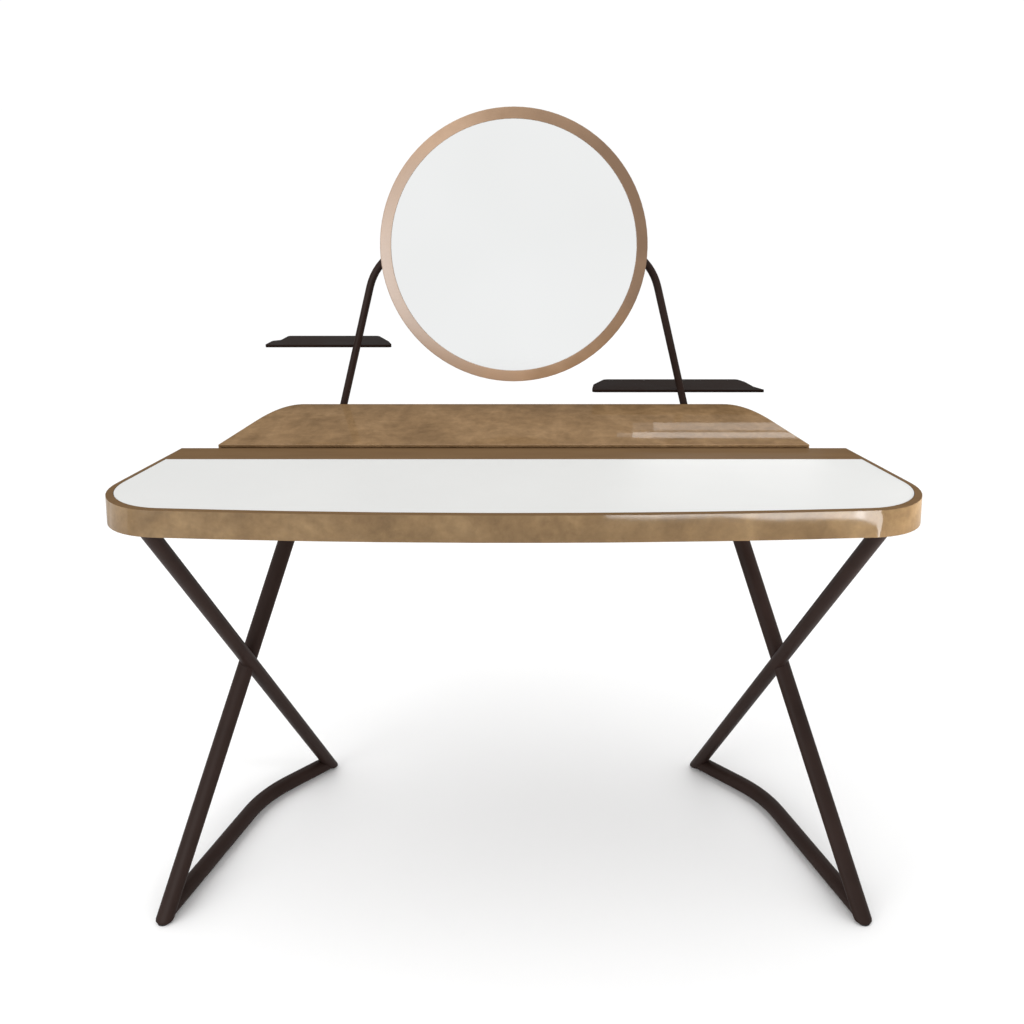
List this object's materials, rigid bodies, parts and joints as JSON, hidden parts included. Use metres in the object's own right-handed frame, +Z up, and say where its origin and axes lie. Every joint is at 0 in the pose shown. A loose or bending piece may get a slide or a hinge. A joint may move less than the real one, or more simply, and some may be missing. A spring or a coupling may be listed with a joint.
{
  "type": "vanity table",
  "caption": "Vanity table with a tapered two-part top whose front half slides forward over storage, crossed tube legs, and a round tilting mirror on a bent tube with small shelves.",
  "frame": {"origin": "on the floor, at the middle of the plan's bounding box", "axes": "+Z up, the user sits at -Y and looks along +Y, +X to the user's right"},
  "size_m": [1.2314, 0.713, 1.3046],
  "materials": {
    "bronze_lacquer": "bronze metallic lacquer, satin, cloudy",
    "white_solid_surface": "fine matt white",
    "dark_steel": "dark brown satin paint",
    "copper_brushed": "copper colour, brushed round the ring",
    "mirror_glass": "silvered glass",
    "dark_board": "matt dark board",
    "bare_steel": "zinc plated",
    "black_nylon": "moulded black"
  },
  "bodies": {
    "table": {"base_panel": "dark_board", "box_divider_left": "dark_steel", "box_divider_right": "dark_steel", "clamp_screw_inner_left": "bare_steel", "clamp_screw_inner_right": "bare_steel", "clamp_screw_outer_left": "bare_steel", "clamp_screw_outer_right": "bare_steel", "floor_runner_left": "dark_steel", "floor_runner_right": "dark_steel", "glide_front_tube_left": "black_nylon", "glide_front_tube_right": "black_nylon", "glide_rear_tube_left": "black_nylon", "glide_rear_tube_right": "black_nylon", "leg_plate_front_left": "dark_steel", "leg_plate_front_right": "dark_steel", "leg_plate_rear_left": "dark_steel", "leg_plate_rear_right": "dark_steel", "leg_screw_front_left_a": "bare_steel", "leg_screw_front_left_b": "bare_steel", "leg_screw_front_right_a": "bare_steel", "leg_screw_front_right_b": "bare_steel", "leg_screw_rear_left_a": "bare_steel", "leg_screw_rear_left_b": "bare_steel", "leg_screw_rear_right_a": "bare_steel", "leg_screw_rear_right_b": "bare_steel", "leg_tube_front_left": "dark_steel", "leg_tube_front_right": "dark_steel", "leg_tube_rear_left": "dark_steel", "leg_tube_rear_right": "dark_steel", "mirror_crossbar": "dark_steel", "mirror_post_left": "dark_steel", "mirror_post_right": "dark_steel", "post_clamp_left": "dark_steel", "post_clamp_right": "dark_steel", "rear_deck_shell": "bronze_lacquer", "shelf_gusset_left": "dark_steel", "shelf_gusset_right": "dark_steel", "shelf_left": "dark_steel", "shelf_right": "dark_steel", "slide_channel_left": "bare_steel", "slide_channel_right": "bare_steel", "slide_stop_left": "black_nylon", "slide_stop_right": "black_nylon", "storage_box": "dark_steel"},
    "sliding_top": {"front_shell": "bronze_lacquer", "white_top_panel": "white_solid_surface", "slide_bar_left": "bare_steel", "slide_bar_right": "bare_steel", "slide_tie": "bare_steel"},
    "mirror": {"mirror_ring": "copper_brushed", "mirror_glass": "mirror_glass", "mirror_back": "dark_board", "hinge_saddle_left": "dark_steel", "hinge_saddle_right": "dark_steel", "hinge_cap_left": "dark_steel", "hinge_cap_right": "dark_steel", "friction_knob_left": "bare_steel", "friction_knob_right": "bare_steel"}
  },
  "joints": [
    {"name": "top_slide", "type": "slide", "parent": "table", "child": "sliding_top", "axis": [0, -1, 0], "range_m": [0, 0.2]},
    {"name": "mirror_tilt", "type": "hinge", "parent": "table", "child": "mirror", "pos_m": [0, 0.2695, 1.066], "axis": [-1, 0, 0], "range_deg": [-16, 14]}
  ]
}
